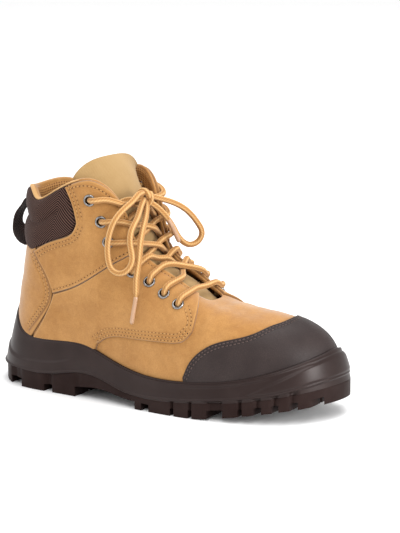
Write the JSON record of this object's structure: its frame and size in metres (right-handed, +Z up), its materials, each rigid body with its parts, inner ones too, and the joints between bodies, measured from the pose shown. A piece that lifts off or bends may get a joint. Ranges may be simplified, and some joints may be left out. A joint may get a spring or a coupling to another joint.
{
  "type": "safety boot",
  "caption": "Right lace-up ankle safety boot: hollow nubuck upper with dark toe cap and padded cuff on a lugged rubber sole, laces tied in a bow.",
  "frame": {"origin": "on the floor under the middle of the boot's box, its loose lace not counted", "axes": "+X to the toe, +Y to the wearer's left (the inner side of this right boot), +Z up"},
  "size_m": [0.306, 0.1118, 0.195],
  "materials": {
    "coated_leather": "satin pebbled dark brown",
    "cuff_cloth": "matte herringbone dark brown",
    "eyelet_metal": "polished",
    "insole_textile": "matte woven tan",
    "lace": "matte round braid, wheat",
    "midsole_rubber": "satin moulded dark brown",
    "nubuck": "matte brushed wheat",
    "sole_rubber": "semi-matte moulded dark brown",
    "tongue_textile": "matte fine weave, wheat",
    "webbing": "matte woven dark brown"
  },
  "bodies": {
    "root": {"outsole": "sole_rubber", "midsole": "midsole_rubber", "insole": "insole_textile", "upper": "nubuck", "tongue": "tongue_textile", "toe_cap": "coated_leather", "collar_cuff": "cuff_cloth", "backstay": "nubuck", "pull_loop": "webbing", "ankle_panel_lateral": "nubuck", "quarter_lateral": "nubuck", "eyelet_lateral_1": "eyelet_metal", "eyelet_lateral_2": "eyelet_metal", "eyelet_lateral_3": "eyelet_metal", "eyelet_lateral_4": "eyelet_metal", "eyelet_lateral_5": "eyelet_metal", "eyelet_lateral_6": "eyelet_metal", "eyelet_lateral_7": "eyelet_metal", "ankle_panel_medial": "nubuck", "quarter_medial": "nubuck", "eyelet_medial_1": "eyelet_metal", "eyelet_medial_2": "eyelet_metal", "eyelet_medial_3": "eyelet_metal", "eyelet_medial_4": "eyelet_metal", "eyelet_medial_5": "eyelet_metal", "eyelet_medial_6": "eyelet_metal", "eyelet_medial_7": "eyelet_metal", "lace_cross_1": "lace", "lace_cross_2": "lace", "lace_cross_3": "lace", "lace_cross_4": "lace", "lace_cross_5": "lace", "lace_cross_6": "lace", "lace_knot": "lace", "lace_loop_left": "lace", "lace_loop_right": "lace", "lace_end_left": "lace", "lace_end_right": "lace"}
  },
  "joints": []
}
